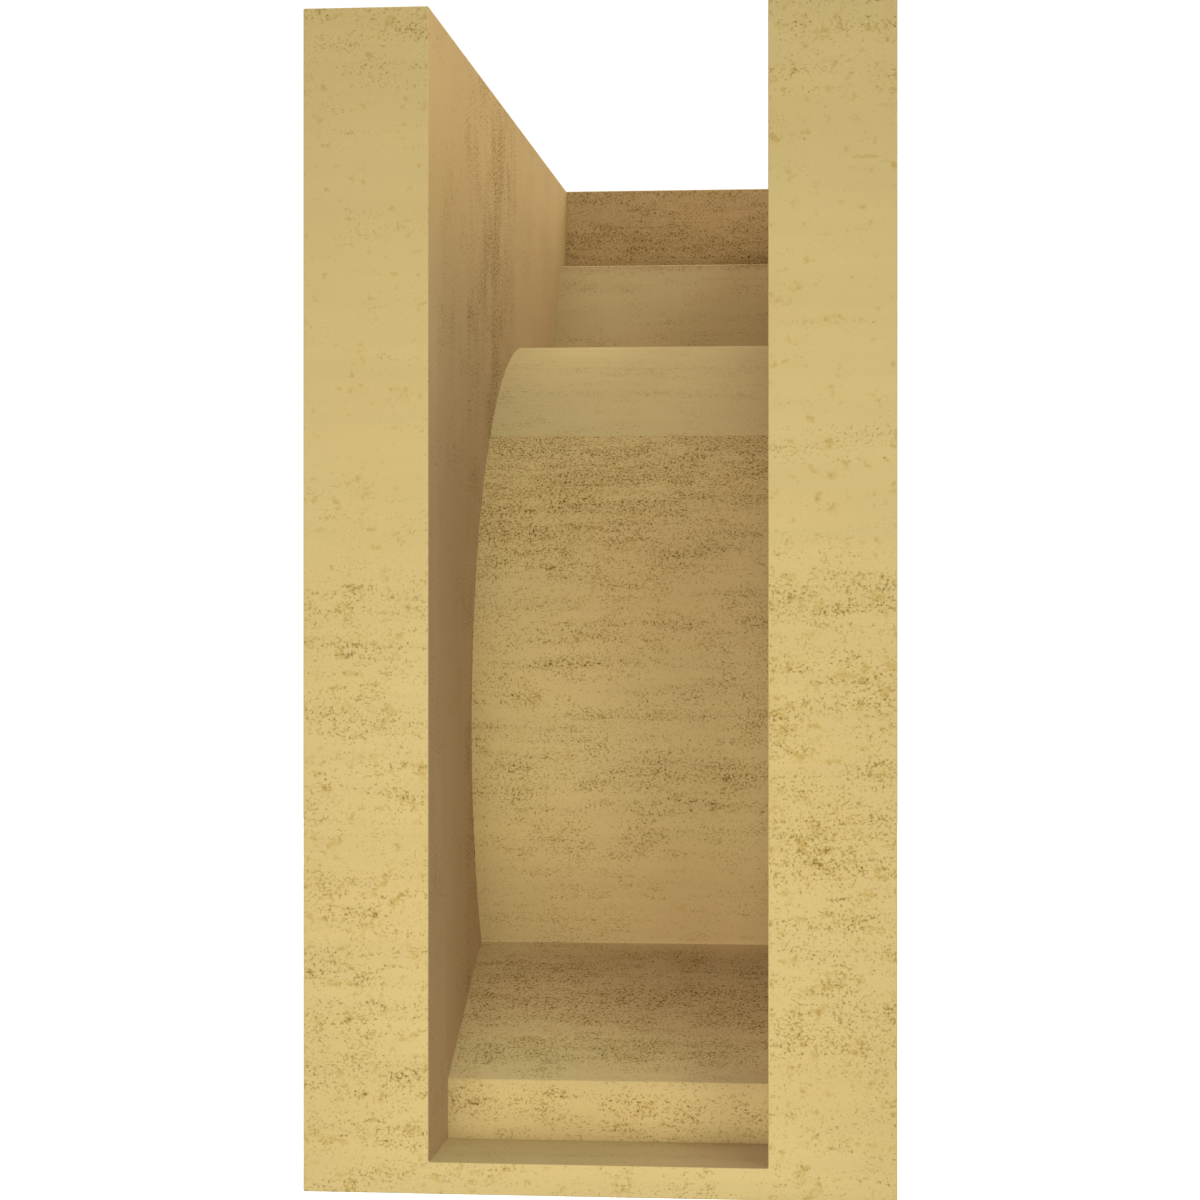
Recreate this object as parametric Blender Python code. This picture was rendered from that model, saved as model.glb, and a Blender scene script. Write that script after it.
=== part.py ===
"""Corbel moulded in one piece: two solid cheeks, a thin front wall that follows the profile
between them and a thin bottom plate. The hollow is open towards the wall and at the top.

Metres, +Z up. The wall is the plane y = 0, the corbel projects towards -Y, x = 0 is its middle,
and the origin is the centre of the bottom rail's back face.
"""
from math import asin, atan, cos, pi, radians, sin

import bmesh
import bpy

INCH = 0.0254

# Overall size
WIDTH = 7.0 * INCH
PROJECTION = 14.0 * INCH
HEIGHT = 14.0 * INCH

# Walls
CHEEK_THICKNESS = 1.5 * INCH
FRONT_WALL = 0.375 * INCH
BOTTOM_PLATE = 0.375 * INCH

# Foot: an upright riser, then a slope that rises away from the wall
FOOT_PROJECTION = 1.75 * INCH
FOOT_HEIGHT = 0.875 * INCH
SLOPE_RISE_PER_RUN = 0.5

# Cove: a round hollow that starts on the slope and ends level under the soffit
COVE_RADIUS = 5.06 * INCH
COVE_FROM_WALL = 3.585 * INCH

# Band: a cyma that leans out from the soffit to the cap, with a flat leaning back
BAND_FACE_SETBACK = 1.82 * INCH
BAND_BELOW_TOP = 3.57 * INCH
CYMA_RUN = 0.90 * INCH

# Cap: upright in front, and its flat back leans a little
CAP_HEIGHT = 1.775 * INCH
CAP_BACK_LEAN = 0.225 * INCH

# Facets of the cove, and of each of the cyma's two arcs
COVE_FACETS = 48
CYMA_ARC_FACETS = 12

# How far the hollow's cutter runs past the open back and the open top
CUTTER_OVERRUN = 1.0 * INCH

# Buff moulded urethane, matt
BODY_COLOUR = (0.60, 0.47, 0.21, 1.0)
BODY_ROUGHNESS = 0.85


def clear_scene():
    for item in list(bpy.data.objects):
        bpy.data.objects.remove(item, do_unlink=True)


def new_collection(name):
    collection = bpy.data.collections.new(name)
    bpy.context.scene.collection.children.link(collection)
    return collection


def body_material():
    material = bpy.data.materials.new("buff_moulded_urethane")
    material.use_nodes = True
    shader = material.node_tree.nodes["Principled BSDF"]
    shader.inputs["Base Color"].default_value = BODY_COLOUR
    shader.inputs["Roughness"].default_value = BODY_ROUGHNESS
    shader.inputs["Metallic"].default_value = 0.0
    return material


def cove(inset):
    """The round hollow, from the slope past its place nearest the wall to the soffit.

    With an inset it is the parallel curve that much nearer the wall.
    """
    centre_out = COVE_FROM_WALL + COVE_RADIUS
    centre_up = HEIGHT - BAND_BELOW_TOP - COVE_RADIUS
    radius = COVE_RADIUS + inset
    slope_angle = atan(SLOPE_RISE_PER_RUN)
    # How far the circle's centre stands over the slope's line, square to it
    above_riser = centre_up - FOOT_HEIGHT
    beyond_riser = centre_out - FOOT_PROJECTION
    over_slope = above_riser * cos(slope_angle) - beyond_riser * sin(slope_angle)
    foot_angle = pi + slope_angle + asin((over_slope - inset) / radius)
    points = []
    for step in range(COVE_FACETS + 1):
        angle = foot_angle + (pi / 2 - foot_angle) * step / COVE_FACETS
        points.append((centre_out + radius * cos(angle), centre_up + radius * sin(angle)))
    return points


def cyma(start, rise, run):
    """The band's curve: a hollow arc, then an equal round one, upright at both ends."""
    radius = (rise ** 2 + run ** 2) / (4 * run)
    sweep = asin(rise / (2 * radius))
    hollow_arc = []
    for step in range(CYMA_ARC_FACETS + 1):
        angle = sweep * step / CYMA_ARC_FACETS
        hollow_arc.append((radius * (1 - cos(angle)), radius * sin(angle)))
    round_arc = [(run - out, rise - up) for out, up in reversed(hollow_arc[:-1])]
    return [(start[0] + out, start[1] + up) for out, up in hollow_arc + round_arc]


def front():
    """The front's outline, bottom to top, as (distance from the wall, height) pairs."""
    soffit = HEIGHT - BAND_BELOW_TOP
    cap_soffit = HEIGHT - CAP_HEIGHT
    band_face = PROJECTION - BAND_FACE_SETBACK
    outline = [(FOOT_PROJECTION, 0.0), (FOOT_PROJECTION, FOOT_HEIGHT)]
    outline += cove(0.0)
    outline += cyma((band_face, soffit), cap_soffit - soffit, CYMA_RUN)
    outline += [(PROJECTION, cap_soffit), (PROJECTION, HEIGHT)]
    return outline


def back_of_front():
    """The outline of the front wall's back, from the bottom plate up, in the same pairs.

    Up to the soffit it is parallel to the front. Behind the band and the cap it is flat, and
    the wall there is nowhere thinner.
    """
    over_soffit = HEIGHT - BAND_BELOW_TOP + FRONT_WALL
    over_cap_soffit = HEIGHT - CAP_HEIGHT + FRONT_WALL
    band_back = PROJECTION - BAND_FACE_SETBACK - FRONT_WALL
    cap_back = PROJECTION - FRONT_WALL
    riser_back = FOOT_PROJECTION - FRONT_WALL
    slope_angle = atan(SLOPE_RISE_PER_RUN)
    riser_top = FOOT_HEIGHT - FRONT_WALL * SLOPE_RISE_PER_RUN + FRONT_WALL / cos(slope_angle)
    outline = [(riser_back, BOTTOM_PLATE), (riser_back, riser_top)]
    outline += cove(FRONT_WALL)
    outline += [(band_back, over_soffit), (band_back + CYMA_RUN, over_cap_soffit)]
    outline += [(cap_back - CAP_BACK_LEAN, over_cap_soffit), (cap_back, HEIGHT)]
    return outline


def extruded(name, outline, thickness, collection):
    """A closed solid from an outline in the side view, centred on x = 0 and as thick as asked."""
    curve = bpy.data.curves.new(name + "_outline", "CURVE")
    curve.dimensions = "2D"
    curve.fill_mode = "BOTH"
    curve.extrude = thickness / 2
    spline = curve.splines.new("POLY")
    spline.points.add(len(outline) - 1)
    for point, (out, up) in zip(spline.points, outline):
        point.co = (out, up, 0.0, 1.0)
    spline.use_cyclic_u = True

    flat = bpy.data.objects.new(name + "_outline", curve)
    collection.objects.link(flat)
    # The outline's first axis points away from the wall (-Y) and its second one up
    flat.rotation_euler = (radians(90), 0.0, radians(-90))
    flat.location = (0.0, 0.0, -BOTTOM_PLATE / 2)
    bpy.context.view_layer.update()

    graph = bpy.context.evaluated_depsgraph_get()
    mesh = bpy.data.meshes.new_from_object(flat.evaluated_get(graph))
    mesh.name = name
    shape = bmesh.new()
    shape.from_mesh(mesh)
    bmesh.ops.remove_doubles(shape, verts=shape.verts, dist=0.000005)
    bmesh.ops.recalc_face_normals(shape, faces=shape.faces)
    shape.to_mesh(mesh)
    shape.free()

    solid = bpy.data.objects.new(name, mesh)
    solid.matrix_world = flat.matrix_world
    collection.objects.link(solid)
    bpy.data.objects.remove(flat, do_unlink=True)
    bpy.data.curves.remove(curve)
    return solid


def build():
    clear_scene()
    parts = new_collection("corbel")
    cutters = new_collection("cutters")

    # The whole moulding, before it is hollowed
    body = extruded("corbel", [(0.0, HEIGHT), (0.0, 0.0)] + front(), WIDTH, parts)
    body.data.materials.clear()
    body.data.materials.append(body_material())

    # The hollow between the cheeks: back of the front wall, floor, open back and open top
    past_back = -CUTTER_OVERRUN
    past_top = HEIGHT + CUTTER_OVERRUN
    hollow = [(past_back, past_top), (past_back, BOTTOM_PLATE)] + back_of_front()
    hollow += [(hollow[-1][0], past_top)]
    cavity = extruded("cavity", hollow, WIDTH - 2 * CHEEK_THICKNESS, cutters)
    cavity.hide_render = True
    cavity.display_type = "WIRE"

    cut = body.modifiers.new("hollow", "BOOLEAN")
    cut.operation = "DIFFERENCE"
    cut.solver = "EXACT"
    cut.object = cavity


build()
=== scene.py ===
from functools import partial
from math import asin, atan, cos, pi, radians, sin
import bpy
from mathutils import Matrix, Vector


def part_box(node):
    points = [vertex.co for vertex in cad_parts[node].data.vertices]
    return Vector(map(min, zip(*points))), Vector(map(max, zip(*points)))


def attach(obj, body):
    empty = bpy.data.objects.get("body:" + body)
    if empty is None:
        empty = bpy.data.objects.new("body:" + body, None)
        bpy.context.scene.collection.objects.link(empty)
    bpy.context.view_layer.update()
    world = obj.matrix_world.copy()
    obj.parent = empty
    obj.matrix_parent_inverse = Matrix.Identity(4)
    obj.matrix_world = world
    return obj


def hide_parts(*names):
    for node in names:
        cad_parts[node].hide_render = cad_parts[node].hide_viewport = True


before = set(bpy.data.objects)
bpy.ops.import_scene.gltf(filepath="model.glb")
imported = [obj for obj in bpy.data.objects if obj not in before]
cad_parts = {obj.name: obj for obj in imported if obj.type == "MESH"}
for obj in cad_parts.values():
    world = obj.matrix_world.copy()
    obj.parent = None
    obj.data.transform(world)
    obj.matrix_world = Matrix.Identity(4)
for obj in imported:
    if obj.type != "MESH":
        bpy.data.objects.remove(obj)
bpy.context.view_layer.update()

from types import SimpleNamespace

import bmesh
import bpy
from mathutils import Vector

INCH = 0.0254
MM = 0.001

# The frame's own sizes: the moulding stands from the wall plane y = 0 towards -Y
LOW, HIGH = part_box("corbel")
HALF_WIDTH = (HIGH.x - LOW.x) / 2
PROJECTION = HIGH.y - LOW.y
HEIGHT = HIGH.z - LOW.z
BASE = LOW.z

# Walls of the hollow
CHEEK_THICKNESS = 1.5 * INCH
FRONT_WALL = 0.375 * INCH
BOTTOM_PLATE = 0.375 * INCH

# Profile of the front, as the solid has it
FOOT_PROJECTION = 1.75 * INCH
FOOT_HEIGHT = 0.875 * INCH
SLOPE_RISE_PER_RUN = 0.5
COVE_RADIUS = 5.06 * INCH
COVE_FROM_WALL = 3.585 * INCH
BAND_FACE_SETBACK = 1.82 * INCH
BAND_BELOW_TOP = 3.57 * INCH
CYMA_RUN = 0.90 * INCH
CAP_HEIGHT = 1.775 * INCH
CAP_BACK_LEAN = 0.225 * INCH
COVE_FACETS = 96
CYMA_ARC_FACETS = 16

# How far the hollow's cutter runs past the open back and the open top
CUTTER_OVERRUN = 0.5 * INCH

# A demoulded arris is a little soft
ARRIS_WIDTH = 0.5 * MM
ARRIS_FACETS = 3
ARRIS_FROM_ANGLE = radians(14)
SMOOTH_UNDER_ANGLE = radians(25)


def linear(hex_colour):
    """An sRGB hex colour as linear red, green, blue and alpha."""
    channels = [int(hex_colour[place:place + 2], 16) / 255 for place in (1, 3, 5)]
    return [c / 12.92 if c <= 0.04045 else ((c + 0.055) / 1.055) ** 2.4 for c in channels] + [1.0]


def node(tree, kind, settings=None, inputs=None, output=0):
    """Adds a node and gives one output: settings are its properties, inputs values or sockets."""
    made = tree.nodes.new("ShaderNode" + kind)
    for name, value in (settings or {}).items():
        setattr(made, name, value)
    for name, value in (inputs or {}).items():
        if isinstance(value, bpy.types.NodeSocket):
            tree.links.new(value, made.inputs[name])
        else:
            made.inputs[name].default_value = value
    return made.outputs[output]


# The moulding's shape

def cove(inset):
    """The round hollow, from the slope past its place nearest the wall to the soffit."""
    centre_out = COVE_FROM_WALL + COVE_RADIUS
    centre_up = HEIGHT - BAND_BELOW_TOP - COVE_RADIUS
    radius = COVE_RADIUS + inset
    slope_angle = atan(SLOPE_RISE_PER_RUN)
    above_riser = centre_up - FOOT_HEIGHT
    beyond_riser = centre_out - FOOT_PROJECTION
    over_slope = above_riser * cos(slope_angle) - beyond_riser * sin(slope_angle)
    foot_angle = pi + slope_angle + asin((over_slope - inset) / radius)
    points = []
    for step in range(COVE_FACETS + 1):
        angle = foot_angle + (pi / 2 - foot_angle) * step / COVE_FACETS
        points.append((centre_out + radius * cos(angle), centre_up + radius * sin(angle)))
    return points


def cyma(start, rise, run):
    """The band's curve: a hollow arc, then an equal round one, upright at both ends."""
    radius = (rise ** 2 + run ** 2) / (4 * run)
    sweep = asin(rise / (2 * radius))
    hollow_arc = []
    for step in range(CYMA_ARC_FACETS + 1):
        angle = sweep * step / CYMA_ARC_FACETS
        hollow_arc.append((radius * (1 - cos(angle)), radius * sin(angle)))
    round_arc = [(run - out, rise - up) for out, up in reversed(hollow_arc[:-1])]
    return [(start[0] + out, start[1] + up) for out, up in hollow_arc + round_arc]


def front():
    """The front's outline, bottom to top, as (distance from the wall, height) pairs."""
    soffit = HEIGHT - BAND_BELOW_TOP
    cap_soffit = HEIGHT - CAP_HEIGHT
    outline = [(FOOT_PROJECTION, 0.0), (FOOT_PROJECTION, FOOT_HEIGHT)]
    outline += cove(0.0)
    outline += cyma((PROJECTION - BAND_FACE_SETBACK, soffit), cap_soffit - soffit, CYMA_RUN)
    outline += [(PROJECTION, cap_soffit), (PROJECTION, HEIGHT)]
    return outline


def back_of_front():
    """The outline of the front wall's back: flat behind the band and the cap."""
    over_soffit = HEIGHT - BAND_BELOW_TOP + FRONT_WALL
    over_cap_soffit = HEIGHT - CAP_HEIGHT + FRONT_WALL
    band_back = PROJECTION - BAND_FACE_SETBACK - FRONT_WALL
    cap_back = PROJECTION - FRONT_WALL
    riser_back = FOOT_PROJECTION - FRONT_WALL
    slope_angle = atan(SLOPE_RISE_PER_RUN)
    riser_top = FOOT_HEIGHT - FRONT_WALL * SLOPE_RISE_PER_RUN + FRONT_WALL / cos(slope_angle)
    outline = [(riser_back, BOTTOM_PLATE), (riser_back, riser_top)]
    outline += cove(FRONT_WALL)
    outline += [(band_back, over_soffit), (band_back + CYMA_RUN, over_cap_soffit)]
    outline += [(cap_back - CAP_BACK_LEAN, over_cap_soffit), (cap_back, HEIGHT)]
    return outline


def prism(name, outline, half_width):
    """A closed solid that carries an outline of the side view across the width."""
    shape = bmesh.new()
    sides = []
    for across in (-half_width, half_width):
        sides.append([shape.verts.new((across, -out, BASE + up)) for out, up in outline])
    for corner in range(len(outline)):
        after = (corner + 1) % len(outline)
        shape.faces.new((sides[0][corner], sides[0][after], sides[1][after], sides[1][corner]))
    for side in sides:
        shape.faces.new(side)
    bmesh.ops.recalc_face_normals(shape, faces=shape.faces)
    mesh = bpy.data.meshes.new(name)
    shape.to_mesh(mesh)
    shape.free()
    piece = bpy.data.objects.new(name, mesh)
    bpy.context.scene.collection.objects.link(piece)
    return piece


def applied(piece):
    """Puts what the piece's modifiers make into its mesh and drops them."""
    graph = bpy.context.evaluated_depsgraph_get()
    mesh = bpy.data.meshes.new_from_object(piece.evaluated_get(graph))
    piece.modifiers.clear()
    piece.data = mesh


def corbel_moulding():
    """The whole moulding with its hollow, its arrises a little soft as they leave a mould."""
    body = prism("corbel_moulding", [(0.0, HEIGHT), (0.0, 0.0)] + front(), HALF_WIDTH)
    hollow = [(-CUTTER_OVERRUN, HEIGHT + CUTTER_OVERRUN), (-CUTTER_OVERRUN, BOTTOM_PLATE)]
    hollow += back_of_front()
    hollow += [(hollow[-1][0], HEIGHT + CUTTER_OVERRUN)]
    cavity = prism("cavity", hollow, HALF_WIDTH - CHEEK_THICKNESS)

    cut = body.modifiers.new("hollow", "BOOLEAN")
    cut.operation = "DIFFERENCE"
    cut.solver = "EXACT"
    cut.object = cavity
    applied(body)
    bpy.data.objects.remove(cavity)

    arris = body.modifiers.new("arris", "BEVEL")
    arris.width = ARRIS_WIDTH
    arris.segments = ARRIS_FACETS
    arris.limit_method = "ANGLE"
    arris.angle_limit = ARRIS_FROM_ANGLE
    arris.use_clamp_overlap = True
    applied(body)
    body.data.shade_smooth()
    body.data.set_sharp_from_angle(angle=SMOOTH_UNDER_ANGLE)
    return body


# Materials

# Colours of the clean ground, which painted shade makes a shade deeper inside the hollow, olive or brown
# there, golden high on the cheeks as painted light and darkest in its narrow parts as painted shade, and of
# a stain
BUFF = "#CAB377"
BUFF_WARM = "#CAB174"
HOLLOW_OLIVE = "#BAA772"
HOLLOW_SHADE_BROWN = "#C09E6A"
HOLLOW_PAINTED_LIGHT_GOLD = "#C1A268"
HOLLOW_PAINTED_SHADE = "#AD9368"
STAIN = "#AD8C38"

# What a speck's rim, a speck and the heart of a deep one let through of the ground's colour
SPECK_RIM = "#D4CEB2"
SPECK = "#80734A"
SPECK_HEART = "#33271A"

# How brown the hollow is and how dark, both painted shade, and how pale, painted light, by millimetres
# above the underside, then how dark by millimetres from the wall on faces that look up or down, again
# painted shade
HOLLOW_SHADE_BROWNING = ((0, 0.50), (200, 0.50), (236, 0.52), (252, 0.40), (266, 0.10), (276, 0.42), (316, 0.42),
                   (321, 1.0), (350, 1.0))
HOLLOW_PAINTED_SHADING = ((0, 0.0), (270, 0.0), (276, 0.35), (316, 0.10), (321, 0.50), (335, 0.10), (350, 0.0))
HOLLOW_PAINTED_LIGHTING = ((0, 0.0), (60, 0.10), (80, 0.20), (105, 0.55), (140, 0.55), (165, 0.38), (195, 0.30),
                 (245, 0.30), (270, 0.0), (350, 0.0))
LEDGE_PAINTED_SHADING = ((0, 0.04), (34, 0.04), (50, 0.0), (68, 0.56), (84, 0.84), (95, 0.84), (106, 0.0),
                   (350, 0.0))

# How much the specks crowd, from clean (0) to a dense spray (1). First by millimetres above the
# underside: on the outer faces, with those that bear on the wall, and inside the hollow
OUTER_SPECKS = ((0, 0.62), (30, 0.68), (75, 0.72), (125, 0.70), (145, 0.66), (165, 0.66), (183, 0.72),
                (192, 0.36), (250, 0.22), (318, 0.22), (330, 0.52), (345, 0.66))
HOLLOW_SPECKS = ((0, 0.76), (22, 0.76), (40, 0.54), (66, 0.54), (95, 0.66), (130, 0.80), (158, 0.72),
                 (182, 0.80), (205, 0.92), (218, 1.10), (236, 1.18), (285, 0.48), (316, 0.50), (322, 0.86),
                 (335, 1.14), (350, 0.94))
# Then by millimetres from the wall: on the hollow's faces that look up or down, and on the flanks
LEDGE_SPECKS = ((0, 0.42), (34, 0.46), (44, 0.94), (62, 1.04), (75, 1.04), (92, 0.94), (100, 0.64),
                (115, 0.50), (350, 0.46))
FLANK_SPECKS = ((0, 0.40), (60, 0.48), (84, 0.76), (105, 0.80), (132, 1.02), (165, 0.92), (186, 0.64),
                (196, 0.36), (240, 0.34), (300, 0.44), (350, 0.40))

# Patterns of noise: millimetres along the streaks and across them, detail, roughness and a place
# of its own. A speck is a pinhead, half a millimetre wide
SPECK_GRAIN = (0.74, 0.66, 2.0, 0.7, 3.0)
STREAKS = (26.0, 2.6, 3.0, 0.6, 11.0)
BANDS = (95.0, 12.0, 2.0, 0.5, 23.0)
PATCHES = (14.0, 8.0, 3.0, 0.55, 37.0)
STAINS = (3.4, 3.0, 2.0, 0.5, 51.0)
DRIFT = (70.0, 7.0, 3.0, 0.5, 67.0)
WARMTH = (60.0, 45.0, 1.0, 0.5, 83.0)
PORES = (0.9, 0.9, 2.0, 0.6, 97.0)

# How much streaks, bands and patches each add to the specks' crowding, then their middle, which is
# taken off again, and the most that specks crowd
STREAKS_SHARE = 0.38
BANDS_SHARE = 0.28
PATCHES_SHARE = 0.44
MIDDLE_SHARE = 0.55
DENSEST = 1.15

# The speck grain shows as a speck where it is over this level, which drops by so much as specks
# crowd from clean to dense, and the speck is at its darkest that far over it
SPECK_LEVEL = 0.677
SPECK_LEVEL_DROP = 0.217
DARKEST_OVER_LEVEL = 0.345

# The hollow's flanks are mostly seen at a low angle, where a real speck would be too fine to show,
# so the pattern there is drawn over three times longer away from the wall
FLANK_SQUEEZE = 0.3

# A face looks one way where this much of its normal does, and not the other way where it is
# over the second
FACING = 0.7
NOT_AWAY = -0.1

# Millimetres from the wall: the faces that bear on it, and the riser's back, are nearer than these
WALL_FACE_WITHIN = 1.0
RISER_WITHIN = 36.0

# Millimetres: the hollow's faces are looked for this far past its side walls, and no nearer to
# the top than the second
PAST_WALLS = 0.1
BELOW_TOP = 0.3

# The Mix node's sockets for numbers, vectors and colours
NUMBER_A, NUMBER_B = 2, 3
VECTOR_A, VECTOR_B, VECTOR_OUT = 4, 5, 1
COLOUR_A, COLOUR_B, COLOUR_OUT = 6, 7, 2


def by_place(add, place_mm, stops):
    """A smooth amount read along a length in millimetres, from (place, amount) stops."""
    first, last = stops[0][0], stops[-1][0]
    along = add("MapRange", None, {"Value": place_mm, "From Min": first, "From Max": last})
    amount = add("ValToRGB", None, {"Fac": along}, "Color")
    row = amount.node.color_ramp.elements
    while len(row) < len(stops):
        row.new(0.5)
    for element, (place, grey) in zip(row, stops):
        element.position = (place - first) / (last - first)
        element.color = (grey, grey, grey, 1.0)
    return amount


def noise(add, grain, pattern):
    """Cloudy noise from 0 to 1, its patches as long and wide as the pattern says."""
    along_mm, across_mm, detail, roughness, seed = pattern
    scaled = add("VectorMath", {"operation": "MULTIPLY_ADD"},
                 {0: grain, 1: (1 / along_mm, 1 / across_mm, 1 / across_mm), 2: (seed, seed / 2, seed / 3)})
    return add("TexNoise", None, {"Vector": scaled, "Scale": 1.0, "Detail": detail,
                                  "Roughness": roughness}, "Fac")


def all_of(add, *masks):
    """The masks multiplied: full only where each of them is."""
    joined = masks[0]
    for mask in masks[1:]:
        joined = add("Math", {"operation": "MULTIPLY"}, {0: joined, 1: mask})
    return joined


def surface(add):
    """Where each point lies, in millimetres, which kind of face it is on, and how its grain runs."""
    at = SimpleNamespace()
    place = add("TexCoord", output="Object")
    in_mm = add("VectorMath", {"operation": "SCALE"}, {0: place, "Scale": 1 / MM})
    at.x, y, z = add("SeparateXYZ", None, {0: in_mm}).node.outputs
    at.height = add("Math", {"operation": "SUBTRACT"}, {0: z, 1: BASE / MM})
    at.from_wall = add("Math", {"operation": "MULTIPLY"}, {0: y, 1: -1.0})

    normal = add("NewGeometry", output="True Normal")
    towards_x, towards_y, towards_z = add("SeparateXYZ", None, {0: normal}).node.outputs
    face_x, face_y, face_z = [add("Math", {"operation": "ABSOLUTE"}, {0: way})
                              for way in (towards_x, towards_y, towards_z)]
    at.on_flank = add("Math", {"operation": "GREATER_THAN"}, {0: face_x, 1: FACING})
    at.on_ledge = add("Math", {"operation": "GREATER_THAN"}, {0: face_z, 1: face_y})
    front_or_back = add("Math", {"operation": "GREATER_THAN"}, {0: face_y, 1: FACING})

    # The hollow's faces lie between the cheeks, and none looks to the front or only down
    across = add("Math", {"operation": "ABSOLUTE"}, {0: at.x})
    between_cheeks = add("Math", {"operation": "LESS_THAN"},
                         {0: across, 1: (HALF_WIDTH - CHEEK_THICKNESS) / MM + PAST_WALLS})
    under_top = add("Math", {"operation": "LESS_THAN"}, {0: at.height, 1: HEIGHT / MM - BELOW_TOP})
    not_to_front = add("Math", {"operation": "GREATER_THAN"}, {0: towards_y, 1: NOT_AWAY})
    up_or_back = add("Math", {"operation": "ADD"}, {0: towards_y, 1: towards_z})
    not_down = add("Math", {"operation": "GREATER_THAN"}, {0: up_or_back, 1: NOT_AWAY})
    at_wall = add("Math", {"operation": "GREATER_THAN"}, {0: y, 1: -WALL_FACE_WITHIN})
    wall_face = all_of(add, at_wall, front_or_back)
    off_wall_face = add("Math", {"operation": "SUBTRACT"}, {0: 1.0, 1: wall_face})
    at.in_hollow = all_of(add, between_cheeks, under_top, not_to_front, not_down, off_wall_face)
    near_wall = add("Math", {"operation": "LESS_THAN"}, {0: at.from_wall, 1: RISER_WITHIN})
    at.on_riser = all_of(add, near_wall, front_or_back)

    # The streaks run level, and upright on the flanks
    hollow_flank = all_of(add, at.on_flank, at.in_hollow)
    squeeze = add("Mix", {"data_type": "FLOAT"},
                  {"Factor": hollow_flank, NUMBER_A: 1.0, NUMBER_B: FLANK_SQUEEZE})
    away = add("Math", {"operation": "MULTIPLY"}, {0: y, 1: squeeze})
    level = add("CombineXYZ", None, {0: at.x, 1: away, 2: z})
    upright = add("CombineXYZ", None, {0: z, 1: away, 2: at.x})
    at.grain = add("Mix", {"data_type": "VECTOR"},
                   {"Factor": at.on_flank, VECTOR_A: level, VECTOR_B: upright}, VECTOR_OUT)
    return at


def crowding(add, at):
    """How much the specks crowd at a place: thin streaks inside wider bands and loose patches."""
    amount = add("Mix", {"data_type": "FLOAT"},
                 {"Factor": at.on_ledge, NUMBER_A: by_place(add, at.height, HOLLOW_SPECKS),
                  NUMBER_B: by_place(add, at.from_wall, LEDGE_SPECKS)})
    amount = add("Mix", {"data_type": "FLOAT"},
                 {"Factor": at.in_hollow, NUMBER_A: by_place(add, at.height, OUTER_SPECKS),
                  NUMBER_B: amount})
    amount = add("Mix", {"data_type": "FLOAT"},
                 {"Factor": at.on_flank, NUMBER_A: amount,
                  NUMBER_B: by_place(add, at.from_wall, FLANK_SPECKS)})
    uneven = -MIDDLE_SHARE
    for pattern, share in ((PATCHES, PATCHES_SHARE), (BANDS, BANDS_SHARE), (STREAKS, STREAKS_SHARE)):
        cloud = add("MapRange", None, {"Value": noise(add, at.grain, pattern), "From Min": 0.36,
                                       "From Max": 0.66})
        uneven = add("Math", {"operation": "MULTIPLY_ADD"}, {0: cloud, 1: share, 2: uneven})
    crowd = add("Math", {"operation": "ADD"}, {0: amount, 1: uneven})
    return add("Math", {"operation": "MINIMUM"}, {0: crowd, 1: DENSEST})


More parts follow.
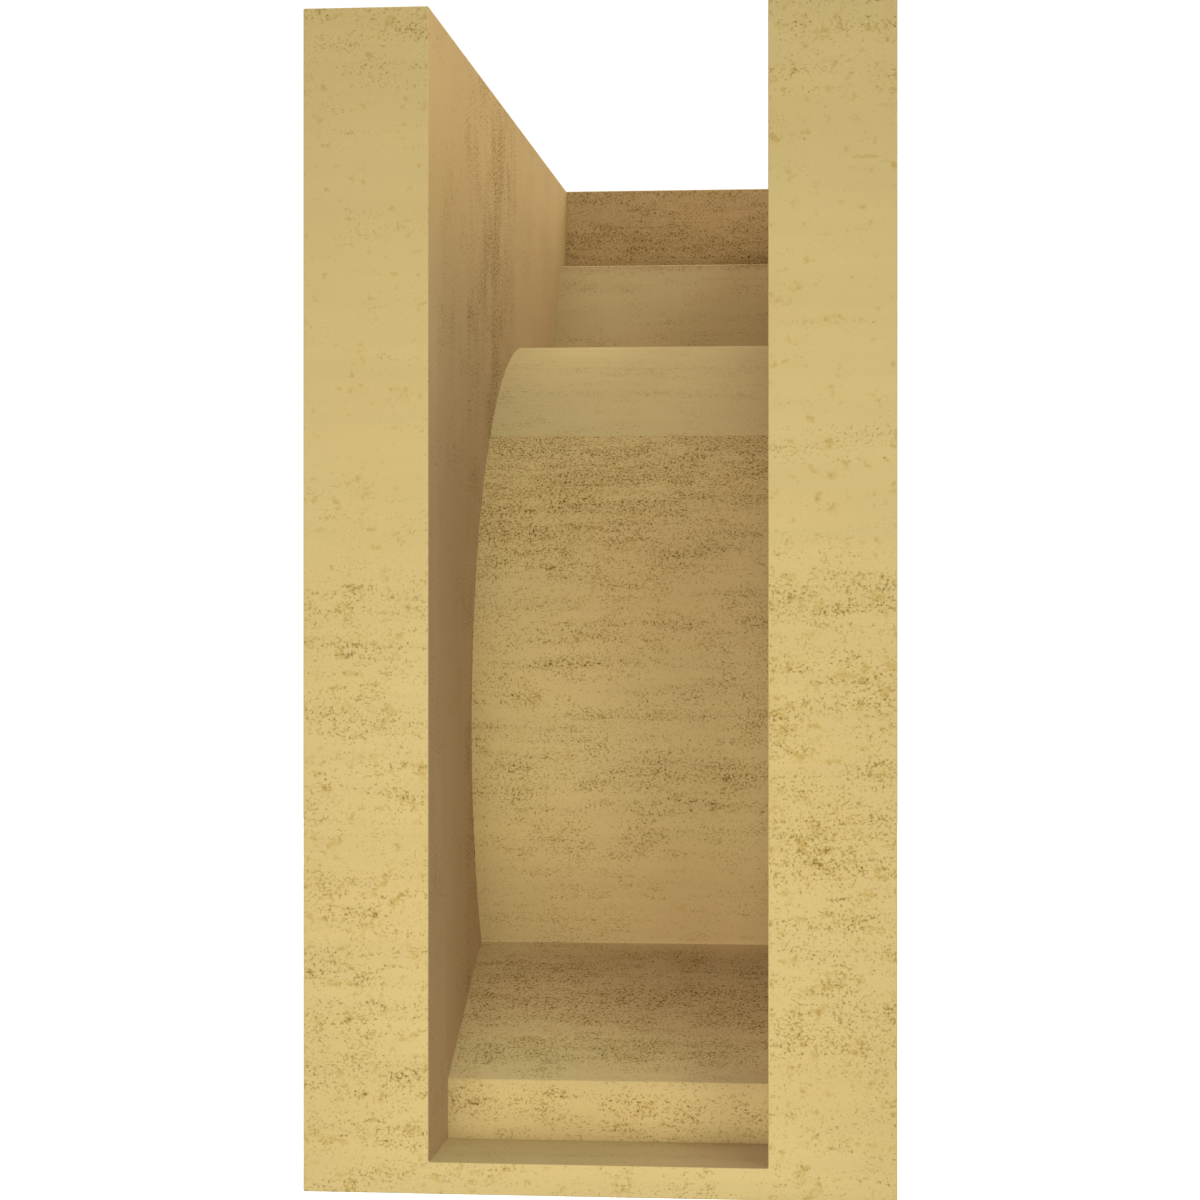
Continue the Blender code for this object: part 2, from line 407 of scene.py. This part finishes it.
def hollow_tone_and_shade(add, at, warmth):
    """The hollow's colour with painted shade and light: olive or brown, golden high on the flanks, dark in
    the narrow parts.
    """
    # Painted shade makes upright faces browner by height and towards -X; they are also browner in soft
    # clouds
    wall_shade_brown = by_place(add, at.height, HOLLOW_SHADE_BROWNING)
    wall_shade_brown = add("Math", {"operation": "MULTIPLY_ADD"}, {0: at.x, 1: -0.005, 2: wall_shade_brown})
    cloud = add("Math", {"operation": "SUBTRACT"}, {0: warmth, 1: 0.5})
    wall_shade_brown = add("Math", {"operation": "MULTIPLY_ADD"}, {0: cloud, 1: 0.6, 2: wall_shade_brown})

    # Painted shade: ledges are darker and browner towards -X, and their last few centimetres there are
    # darkest
    to_right = add("MapRange", None, {"Value": at.x, "From Min": 50.0, "From Max": -15.0, "To Min": 0.45})
    ledge_painted_shade = add("Math", {"operation": "MULTIPLY"},
                     {0: by_place(add, at.from_wall, LEDGE_PAINTED_SHADING), 1: to_right})
    right_shade_brown = add("MapRange", None, {"Value": at.x, "From Min": 20.0, "From Max": -50.0, "To Max": 0.4})
    ledge_shade_brown = add("Math", {"operation": "ADD"}, {0: ledge_painted_shade, 1: right_shade_brown})
    right_end_shade = add("MapRange", None, {"Value": at.x, "From Min": -18.0, "From Max": -48.0})
    past_riser = add("MapRange", None, {"Value": at.from_wall, "From Min": 36.0, "From Max": 44.0,
                                        "To Min": 1.0, "To Max": 0.3})
    before_cove = add("Math", {"operation": "LESS_THAN"}, {0: at.from_wall, 1: 100.0})
    right_end_shade = all_of(add, right_end_shade, past_riser, before_cove)
    ledge_painted_shade = add("Math", {"operation": "MAXIMUM"}, {0: ledge_painted_shade, 1: right_end_shade})

    # Flanks are browner further out as painted shade; painted light makes them golden high up, and painted
    # shade darker the lower they are
    flank_shade_brown = add("MapRange", None, {"Value": at.from_wall, "From Min": 90.0, "From Max": 150.0,
                                         "To Min": 0.4, "To Max": 0.7})
    flank_painted_light = add("MapRange", None, {"Value": at.height, "From Min": 250.0, "From Max": 300.0})
    flank_painted_light = add("Math", {"operation": "MULTIPLY"}, {0: at.on_flank, 1: flank_painted_light})
    up_flank = add("Math", {"operation": "MULTIPLY_ADD"}, {0: at.from_wall, 1: -0.2, 2: at.height})
    flank_painted_shade = add("MapRange", None, {"Value": up_flank, "From Min": 205.0, "From Max": 300.0,
                                        "To Min": 1.0, "To Max": 0.0})

    # Share of painted brown shade, with the soft clouds of tone on upright faces
    brown_shade_share = add("Mix", {"data_type": "FLOAT"},
                   {"Factor": at.on_ledge, NUMBER_A: wall_shade_brown, NUMBER_B: ledge_shade_brown})
    brown_shade_share = add("Mix", {"data_type": "FLOAT"},
                   {"Factor": at.on_flank, NUMBER_A: brown_shade_share, NUMBER_B: flank_shade_brown})
    # Painted shade: darker in the narrow parts by height, on ledges by depth and low on the flanks
    painted_shade_share = add("Mix", {"data_type": "FLOAT"},
                    {"Factor": at.on_ledge, NUMBER_A: by_place(add, at.height, HOLLOW_PAINTED_SHADING),
                     NUMBER_B: ledge_painted_shade})
    painted_shade_share = add("Mix", {"data_type": "FLOAT"},
                    {"Factor": at.on_flank, NUMBER_A: painted_shade_share, NUMBER_B: flank_painted_shade})
    # Painted shade and light over the olive: browner, golden high on the flanks, darker in the narrow parts
    tone = linear(HOLLOW_OLIVE)
    for share, colour in ((brown_shade_share, HOLLOW_SHADE_BROWN), (flank_painted_light, HOLLOW_PAINTED_LIGHT_GOLD), (painted_shade_share, HOLLOW_PAINTED_SHADE)):
        tone = add("Mix", {"data_type": "RGBA"},
                   {"Factor": share, COLOUR_A: tone, COLOUR_B: linear(colour)}, COLOUR_OUT)
    return tone


def hollow_shade_share(add, at):
    """How much of the hollow's tone and painted shade a place has: none outside, and less where painted
    light makes the cove's back pale.
    """
    # Painted light: the cove's back is paler towards +X
    to_left = add("MapRange", None, {"Value": at.x, "From Min": 5.0, "From Max": 45.0, "To Min": 1.0,
                                     "To Max": 2.0})
    painted_light_share = add("Math", {"operation": "MULTIPLY"},
                 {0: by_place(add, at.height, HOLLOW_PAINTED_LIGHTING), 1: to_left})
    ledge_painted_light = add("MapRange", None, {"Value": at.from_wall, "From Min": 130.0, "From Max": 215.0,
                                          "To Max": 0.6})
    painted_light_share = add("Mix", {"data_type": "FLOAT"},
                 {"Factor": at.on_ledge, NUMBER_A: painted_light_share, NUMBER_B: ledge_painted_light})
    painted_light_share = add("Mix", {"data_type": "FLOAT"},
                 {"Factor": at.on_flank, NUMBER_A: painted_light_share, NUMBER_B: 0.0})
    # The riser is nearly as pale as the outside, as it takes little of the hollow's painted shade
    inside = add("Mix", {"data_type": "FLOAT"}, {"Factor": at.on_riser, NUMBER_A: 1.0, NUMBER_B: 0.35})
    inside = add("Math", {"operation": "MULTIPLY"}, {0: at.in_hollow, 1: inside})
    unpaled = add("Math", {"operation": "SUBTRACT"}, {0: 1.0, 1: painted_light_share})
    return add("Math", {"operation": "MULTIPLY"}, {0: inside, 1: unpaled})


def clean_ground(add, at):
    """The colour without specks or stains, with the hollow's painted shade and light, and a tone that
    drifts along the streaks.
    """
    warmth = noise(add, at.grain, WARMTH)
    warm = add("MapRange", None, {"Value": warmth, "From Min": 0.35, "From Max": 0.65})
    ground = add("Mix", {"data_type": "RGBA"},
                 {"Factor": warm, COLOUR_A: linear(BUFF), COLOUR_B: linear(BUFF_WARM)}, COLOUR_OUT)
    ground = add("Mix", {"data_type": "RGBA"},
                 # The hollow's deeper tone is painted shade in the recess
                 {"Factor": hollow_shade_share(add, at), COLOUR_A: ground,
                  COLOUR_B: hollow_tone_and_shade(add, at, warmth)}, COLOUR_OUT)
    drift = add("MapRange", None, {"Value": noise(add, at.grain, DRIFT), "From Min": 0.3, "From Max": 0.7,
                                   "To Min": 0.975, "To Max": 1.025})
    return add("HueSaturation", None, {"Color": ground, "Value": drift})


def stained(add, at, ground, crowd):
    """Soft golden stains round the crowded specks, fainter inside the hollow."""
    stain = add("Math", {"operation": "MULTIPLY_ADD"},
                {0: crowd, 1: 0.08, 2: noise(add, at.grain, STAINS)})
    stain = add("MapRange", None, {"Value": stain, "From Min": 0.635, "From Max": 0.78})
    strength = add("Mix", {"data_type": "FLOAT"}, {"Factor": at.in_hollow, NUMBER_A: 0.5, NUMBER_B: 0.25})
    stain = add("Math", {"operation": "MULTIPLY"}, {0: stain, 1: strength})
    return add("Mix", {"data_type": "RGBA"},
               {"Factor": stain, COLOUR_A: ground, COLOUR_B: linear(STAIN)}, COLOUR_OUT)


def speckled(add, at, ground, speck):
    """Specks over the ground: a pale rim, a brown speck, and a dark heart, darker in the hollow."""
    deep = add("Math", {"operation": "MULTIPLY_ADD"}, {0: at.in_hollow, 1: 0.07, 2: speck})
    layers = ((speck, 0.0, 0.45, SPECK_RIM), (speck, 0.40, 0.80, SPECK), (deep, 0.76, 1.0, SPECK_HEART))
    for depth, begins, full, colour in layers:
        layer = add("MapRange", None, {"Value": depth, "From Min": begins, "From Max": full})
        ground = add("Mix", {"data_type": "RGBA", "blend_type": "MULTIPLY"},
                     {"Factor": layer, COLOUR_A: ground, COLOUR_B: linear(colour)}, COLOUR_OUT)
    return ground


def moulded_urethane():
    """Rigid urethane cast in a mould taken from fine-grained stone, buff right through.

    To the eye: dead matt buff with pinhead specks of dark brown that crowd into level streaks
    and bands, upright ones on the cheeks' flanks, with soft golden stains round the crowded ones.
    """
    material = bpy.data.materials.new("moulded_urethane_buff")
    material.use_nodes = True
    tree = material.node_tree
    shader = tree.nodes["Principled BSDF"]
    add = partial(node, tree)
    at = surface(add)

    # Specks are more and darker where they crowd
    crowd = crowding(add, at)
    drop = add("Math", {"operation": "MULTIPLY"}, {0: crowd, 1: SPECK_LEVEL_DROP})
    level = add("Math", {"operation": "SUBTRACT"}, {0: SPECK_LEVEL, 1: drop})
    over_level = add("Math", {"operation": "SUBTRACT"},
                     {0: noise(add, at.grain, SPECK_GRAIN), 1: level})
    speck = add("MapRange", None, {"Value": over_level, "From Min": 0.0, "From Max": DARKEST_OVER_LEVEL})

    ground = clean_ground(add, at)
    ground = stained(add, at, ground, crowd)
    ground = speckled(add, at, ground, speck)
    tree.links.new(ground, shader.inputs["Base Color"])
    shader.inputs["Specular IOR Level"].default_value = 0.15
    roughness = add("MapRange", None, {"Value": speck, "To Min": 0.84, "To Max": 0.95})
    tree.links.new(roughness, shader.inputs["Roughness"])

    # Each speck is a shallow pinhole, on a grain too fine to feel
    grain = add("Math", {"operation": "MULTIPLY"}, {0: noise(add, at.grain, PORES), 1: 0.25})
    pinholes = add("Math", {"operation": "MULTIPLY"}, {0: speck, 1: 0.6})
    relief = add("Math", {"operation": "SUBTRACT"}, {0: grain, 1: pinholes})
    bump = add("Bump", None, {"Height": relief, "Strength": 0.5, "Distance": 0.12 * MM})
    tree.links.new(bump, shader.inputs["Normal"])
    return material


def studio_paper():
    """White paper under the piece: flat to the eye, with no shine."""
    material = bpy.data.materials.new("studio_paper_white")
    material.use_nodes = True
    shader = material.node_tree.nodes["Principled BSDF"]
    shader.inputs["Base Color"].default_value = linear("#FFFFFF")
    shader.inputs["Roughness"].default_value = 0.9
    return material


# Camera, floor and light

# The photo's view: where the camera stands, how far it is turned, and its lens and framing
CAMERA_PLACE = (-3.233 * INCH, 29.874 * INCH, BASE + 6.94 * INCH)
CAMERA_TURN = 185.009
SENSOR_MM = 36.0
LENS_MM = 76.95
SHIFT = (-0.0413, 0.0042)

# The floor lies well under the wall-hung piece
FLOOR_HALF_SIZE = 12.0
FLOOR_BELOW_PIECE = 0.9

# The middle of the piece, which the soft lights are turned to
MIDDLE = Vector((0.0, -0.1, 0.17))


def camera():
    """The photo's view: from the wall side, level, turned 5 degrees."""
    made = bpy.data.objects.new("camera", bpy.data.cameras.new("camera"))
    bpy.context.scene.collection.objects.link(made)
    made.location = CAMERA_PLACE
    made.rotation_euler = (radians(90), 0.0, radians(CAMERA_TURN))
    made.data.sensor_width = SENSOR_MM
    made.data.lens = LENS_MM
    made.data.shift_x, made.data.shift_y = SHIFT
    made.data.clip_start = 0.01
    bpy.context.scene.camera = made


def floor():
    """A plain white floor; it casts no light back up at the piece."""
    half = FLOOR_HALF_SIZE
    depth = BASE - FLOOR_BELOW_PIECE
    mesh = bpy.data.meshes.new("floor")
    corners = [(-half, -half, depth), (half, -half, depth), (half, half, depth), (-half, half, depth)]
    mesh.from_pydata(corners, [], [(0, 1, 2, 3)])
    made = bpy.data.objects.new("floor", mesh)
    bpy.context.scene.collection.objects.link(made)
    mesh.materials.append(studio_paper())
    made.visible_diffuse = False


def softbox(name, place, size, watts):
    """A round soft light near the piece, turned to its middle."""
    light = bpy.data.lights.new(name, "AREA")
    light.shape = "DISK"
    light.size = size
    light.energy = watts
    made = bpy.data.objects.new(name, light)
    made.location = place
    made.rotation_euler = (MIDDLE - Vector(place)).to_track_quat("-Z", "Y").to_euler()
    made.visible_camera = False
    bpy.context.scene.collection.objects.link(made)


def far_light(name, elevation, round_from_back, strength, spread=45):
    """A soft light from afar: degrees up, and degrees round from the wall side over -X."""
    up = radians(elevation)
    turn = radians(round_from_back)
    towards = Vector((-sin(turn) * cos(up), cos(turn) * cos(up), sin(up)))
    light = bpy.data.lights.new(name, "SUN")
    light.energy = strength
    light.angle = radians(spread)
    made = bpy.data.objects.new(name, light)
    made.rotation_euler = towards.to_track_quat("Z", "Y").to_euler()
    bpy.context.scene.collection.objects.link(made)


def studio():
    """Soft lights all round, the strongest low before the wall side, and a white backdrop."""
    softbox("key", place=(0.0, 0.7, 0.0), size=0.3, watts=1.68)
    softbox("fill_left", place=(0.15, 0.5, 0.0), size=0.3, watts=1.12)
    softbox("fill_right", place=(-0.35, 0.5, 0.08), size=0.3, watts=0.88)
    softbox("under_front", place=(0.0, -1.2, BASE - 0.5), size=0.8, watts=8.0)
    far_light("overhead", elevation=80, round_from_back=180, strength=2.19)
    far_light("high_right", elevation=55, round_from_back=105, strength=0.45, spread=20)
    far_light("high_back", elevation=35, round_from_back=40, strength=0.33, spread=15)
    far_light("level_back", elevation=0, round_from_back=0, strength=0.24, spread=15)
    far_light("side_right", elevation=30, round_from_back=120, strength=1.35)
    far_light("low_right", elevation=5, round_from_back=80, strength=0.42)
    far_light("side_left", elevation=5, round_from_back=280, strength=1.05)
    far_light("level_front", elevation=10, round_from_back=180, strength=1.3)

    # The camera sees the backdrop white, and the piece gets only a little light from it
    world = bpy.data.worlds.new("studio")
    bpy.context.scene.world = world
    world.use_nodes = True
    tree = world.node_tree
    sky = tree.nodes["Background"]
    sky.inputs["Color"].default_value = (1.0, 1.0, 1.0, 1.0)
    seen = node(tree, "LightPath", output="Is Camera Ray")
    strength = node(tree, "MapRange", None, {"Value": seen, "To Min": 0.12, "To Max": 1.05})
    tree.links.new(strength, sky.inputs["Strength"])
    bpy.context.scene.view_settings.view_transform = "Standard"


camera()
floor()
studio()
moulding = corbel_moulding()
moulding.data.materials.clear()
moulding.data.materials.append(moulded_urethane())
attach(moulding, "root")
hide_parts("corbel")
